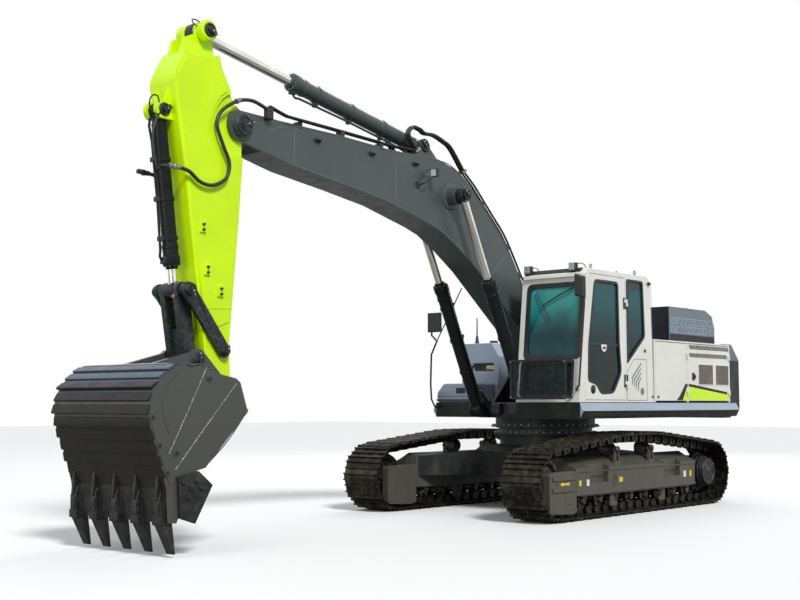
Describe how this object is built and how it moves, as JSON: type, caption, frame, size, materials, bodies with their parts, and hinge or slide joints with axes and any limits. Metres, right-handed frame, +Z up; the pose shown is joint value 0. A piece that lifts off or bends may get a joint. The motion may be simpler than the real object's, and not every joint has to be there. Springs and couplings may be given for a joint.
{
  "type": "crawler excavator",
  "caption": "Hydraulic crawler excavator with a one-piece boom, an arm, a toothed bucket, a left-hand cab, opening service doors and a swinging upper structure.",
  "frame": {"origin": "middle of the bottom of the bounding box, on the ground under the tracks", "axes": "+X forward, the way the boom points; +Y to the machine's left, the cab side; +Z up"},
  "size_m": [11.0228, 3.235, 5.4197],
  "materials": {
    "frame_black": "satin black paint, dusty",
    "track_steel": "bare worn steel with light rust",
    "dark_grey_paint": "semi-gloss dark grey paint",
    "grey_paint": "semi-gloss mid grey paint, scuffed",
    "lime_paint": "semi-gloss yellow-green paint, scuffed",
    "white_paint": "semi-gloss off-white paint, dusty",
    "blue_grey_paint": "semi-gloss light blue-grey paint",
    "chrome_rod": "polished hard chrome",
    "tinted_glass": "clear with a blue-green tint",
    "seat_fabric": "dark woven cloth",
    "black_plastic": "matt black"
  },
  "bodies": {
    "undercarriage": {"carbody": "frame_black", "slew_ring": "dark_grey_paint", "track_frame_left": "track_steel", "track_frame_right": "track_steel", "track_left": "track_steel", "track_right": "track_steel", "bottom_rollers_left": "frame_black", "bottom_rollers_right": "frame_black", "idler_left": "track_steel", "idler_right": "track_steel", "sprocket_left": "frame_black", "sprocket_right": "frame_black"},
    "upper_structure": {"swing_platform": "frame_black", "side_skirt_left": "blue_grey_paint", "side_skirt_right": "blue_grey_paint", "counterweight": "dark_grey_paint", "engine_house": "white_paint", "engine": "dark_grey_paint", "fuel_tank": "blue_grey_paint", "hydraulic_tank": "white_paint", "toolbox": "blue_grey_paint", "swing_motor": "dark_grey_paint", "cab_shell": "white_paint", "windshield": "tinted_glass", "lower_windshield": "tinted_glass", "quarter_glass": "tinted_glass", "rear_glass": "tinted_glass", "right_glass": "tinted_glass", "operator_seat": "seat_fabric", "consoles": "black_plastic", "front_guard": "frame_black", "mirror_left": "black_plastic", "mirror_right": "black_plastic"},
    "cab_door": {"cab_door": "white_paint", "door_glass": "tinted_glass"},
    "left_front_door": {"left_front_door": "white_paint"},
    "left_rear_door": {"left_rear_door": "white_paint"},
    "right_rear_door": {"right_rear_door": "white_paint"},
    "engine_hood": {"engine_hood": "dark_grey_paint"},
    "boom": {"boom": "grey_paint"},
    "boom_cylinders": {"boom_cylinder_left": "dark_grey_paint", "boom_cylinder_right": "dark_grey_paint"},
    "boom_rods": {"boom_rod_left": "chrome_rod", "boom_rod_right": "chrome_rod"},
    "arm_cylinder": {"arm_cylinder": "grey_paint"},
    "arm_rod": {"arm_rod": "chrome_rod"},
    "arm": {"arm": "lime_paint"},
    "bucket_cylinder": {"bucket_cylinder": "dark_grey_paint"},
    "bucket_rod": {"bucket_rod": "chrome_rod"},
    "guide_links": {"guide_link_left": "dark_grey_paint", "guide_link_right": "dark_grey_paint"},
    "bucket": {"bucket": "grey_paint", "bucket_teeth": "dark_grey_paint", "side_cutter_left": "dark_grey_paint", "side_cutter_right": "dark_grey_paint"},
    "bucket_link": {"bucket_link": "dark_grey_paint"}
  },
  "joints": [
    {"name": "swing", "type": "hinge", "parent": "undercarriage", "child": "upper_structure", "pos_m": [-2.08144, -0.0225, 1.1], "axis": [0, 0, 1], "continuous": true},
    {"name": "cab_door_swing", "type": "hinge", "parent": "upper_structure", "child": "cab_door", "pos_m": [-1.78144, 1.4975, 2.3], "axis": [0, 0, 1], "range_deg": [0, 175]},
    {"name": "left_front_door_swing", "type": "hinge", "parent": "upper_structure", "child": "left_front_door", "pos_m": [-3.48144, 1.4815, 1.88], "axis": [0, 0, 1], "range_deg": [0, 110]},
    {"name": "left_rear_door_swing", "type": "hinge", "parent": "upper_structure", "child": "left_rear_door", "pos_m": [-4.79644, 1.4815, 1.88], "axis": [0, 0, 1], "range_deg": [0, 110]},
    {"name": "right_rear_door_swing", "type": "hinge", "parent": "upper_structure", "child": "right_rear_door", "pos_m": [-4.79644, -1.5265, 1.88], "axis": [0, 0, -1], "range_deg": [0, 110]},
    {"name": "engine_hood_lift", "type": "hinge", "parent": "upper_structure", "child": "engine_hood", "pos_m": [-3.67544, 0.3175, 2.36], "axis": [0, 1, 0], "range_deg": [0, 70]},
    {"name": "boom_lift", "type": "hinge", "parent": "upper_structure", "child": "boom", "pos_m": [-2.02144, -0.0225, 2], "axis": [0, -1, 0], "range_deg": [-57, 32]},
    {"name": "boom_cylinder_tilt", "type": "hinge", "parent": "upper_structure", "child": "boom_cylinders", "pos_m": [-1.04144, -0.0225, 1.36], "axis": [0, -1, 0], "range_deg": [-61, 35]},
    {"name": "boom_rod_slide", "type": "slide", "parent": "boom_cylinders", "child": "boom_rods", "axis": [0.4485, 0, 0.8938], "range_m": [-1.04, 0.59]},
    {"name": "arm_crowd", "type": "hinge", "parent": "boom", "child": "arm", "pos_m": [3.89815, -0.0225, 4.37966], "axis": [0, 1, 0], "range_deg": [-77, 36]},
    {"name": "arm_cylinder_tilt", "type": "hinge", "parent": "boom", "child": "arm_cylinder", "pos_m": [0.71818, -0.0225, 4.67488], "axis": [0, 1, 0], "range_deg": [-8, 4]},
    {"name": "arm_rod_slide", "type": "slide", "parent": "arm_cylinder", "child": "arm_rod", "axis": [0.9851, 0, 0.1722], "range_m": [-1.22, 0.58]},
    {"name": "bucket_curl", "type": "hinge", "parent": "arm", "child": "bucket", "pos_m": [4.13344, -0.0225, 1.49926], "axis": [0, 1, 0], "range_deg": [0, 165]},
    {"name": "bucket_cylinder_tilt", "type": "hinge", "parent": "arm", "child": "bucket_cylinder", "pos_m": [4.83867, -0.0225, 4.3993], "axis": [0, 1, 0], "range_deg": [-3, 1]},
    {"name": "bucket_rod_slide", "type": "slide", "parent": "bucket_cylinder", "child": "bucket_rod", "axis": [-0.1317, 0, -0.9913], "range_m": [-0.005, 1.252]},
    {"name": "guide_link_tilt", "type": "hinge", "parent": "arm", "child": "guide_links", "pos_m": [4.11828, -0.0225, 1.97962], "axis": [0, 1, 0], "range_deg": [-1, 109]},
    {"name": "bucket_link_tilt", "type": "hinge", "parent": "bucket", "child": "bucket_link", "pos_m": [4.48144, -0.0225, 1.87426], "axis": [0, 1, 0], "range_deg": [-109.9, 1]}
  ],
  "couplings": [
    {"joint": "boom_cylinder_tilt", "follows": "boom_lift", "ratio": 1.0426},
    {"joint": "boom_rod_slide", "follows": "boom_lift", "m_per_rad": 1.025},
    {"joint": "arm_cylinder_tilt", "follows": "arm_crowd", "ratio": 0.0818},
    {"joint": "arm_rod_slide", "follows": "arm_crowd", "m_per_rad": 0.88742},
    {"joint": "bucket_cylinder_tilt", "follows": "bucket_curl", "ratio": -0.01339},
    {"joint": "bucket_rod_slide", "follows": "bucket_curl", "m_per_rad": 0.43113},
    {"joint": "guide_link_tilt", "follows": "bucket_curl", "ratio": 0.65134},
    {"joint": "bucket_link_tilt", "follows": "bucket_curl", "ratio": -0.65674}
  ]
}
